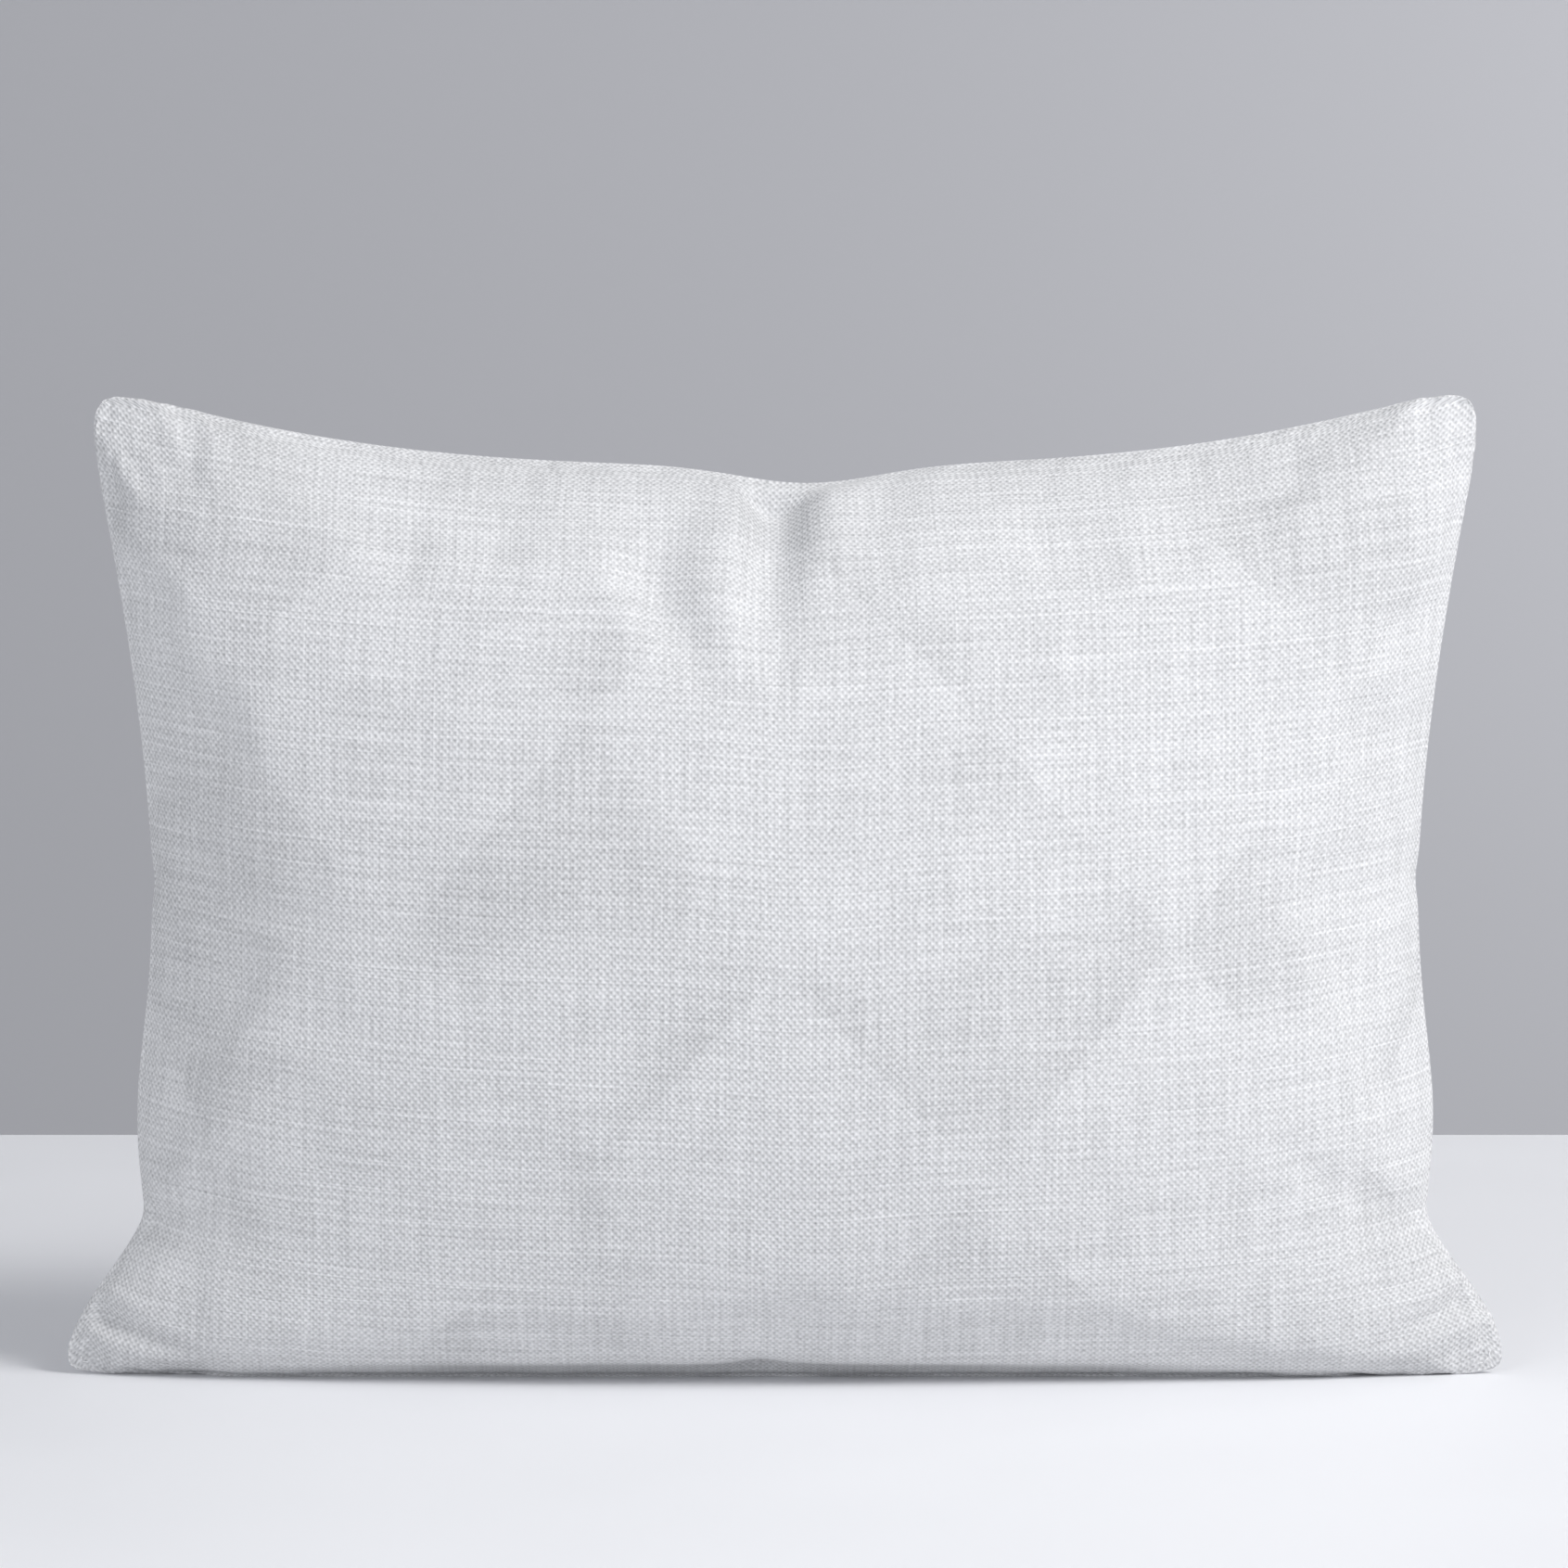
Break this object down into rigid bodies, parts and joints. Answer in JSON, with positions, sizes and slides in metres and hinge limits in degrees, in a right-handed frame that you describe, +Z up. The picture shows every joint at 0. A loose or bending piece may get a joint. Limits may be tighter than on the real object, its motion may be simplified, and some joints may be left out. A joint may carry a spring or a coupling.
{
  "type": "bed pillow",
  "caption": "Lumbar-size bed pillow in a white woven cover, with drawn-out corners and a hidden zip along its bottom seam, over a fibre-filled insert.",
  "frame": {"origin": "on the surface the pillow stands on, under the middle of its seam", "axes": "+X along the long edge to the viewer's right, +Y from the front face to the back face, +Z up"},
  "size_m": [0.5069, 0.1398, 0.3501],
  "materials": {
    "cover_linen": "matt plain-woven slubby linen with a faint tone-on-tone diamond check",
    "cover_thread": "spun thread",
    "label_ribbon": "satin ribbon, blank",
    "zip_tape": "woven polyester tape",
    "zip_teeth": "moulded white",
    "zip_stops": "white enamel",
    "zip_slider_enamel": "white enamel",
    "insert_cotton": "fine plain-woven cotton",
    "insert_thread": "spun thread",
    "polyester_fibre": "crimped hollow fibre"
  },
  "bodies": {
    "cover": {"cover_front_panel": "cover_linen", "cover_back_panel": "cover_linen", "cover_seam_stitching": "cover_thread", "care_label": "label_ribbon", "zip_tape_front": "zip_tape", "zip_tape_back": "zip_tape", "zip_teeth_front": "zip_teeth", "zip_teeth_back": "zip_teeth", "zip_stitching_front": "cover_thread", "zip_stitching_back": "cover_thread", "zip_top_stops": "zip_stops", "zip_bottom_stop": "zip_stops", "insert_front_panel": "insert_cotton", "insert_back_panel": "insert_cotton", "insert_seam_stitching": "insert_thread", "insert_closing_stitching": "insert_thread", "insert_label": "label_ribbon", "fibre_fill": "polyester_fibre"},
    "slider": {"zip_slider": "zip_slider_enamel"},
    "pull": {"zip_pull": "zip_slider_enamel"}
  },
  "joints": [
    {"name": "zip_slide", "type": "slide", "parent": "cover", "child": "slider", "axis": [-1, 0, 0], "range_m": [0, 0.34], "deforming": ["zip_teeth_front", "zip_teeth_back", "zip_tape_front", "zip_tape_back"]},
    {"name": "pull_swing", "type": "hinge", "parent": "slider", "child": "pull", "pos_m": [0.173, 0, 0.00395], "axis": [0, -1, 0], "range_deg": [0, 175]}
  ]
}
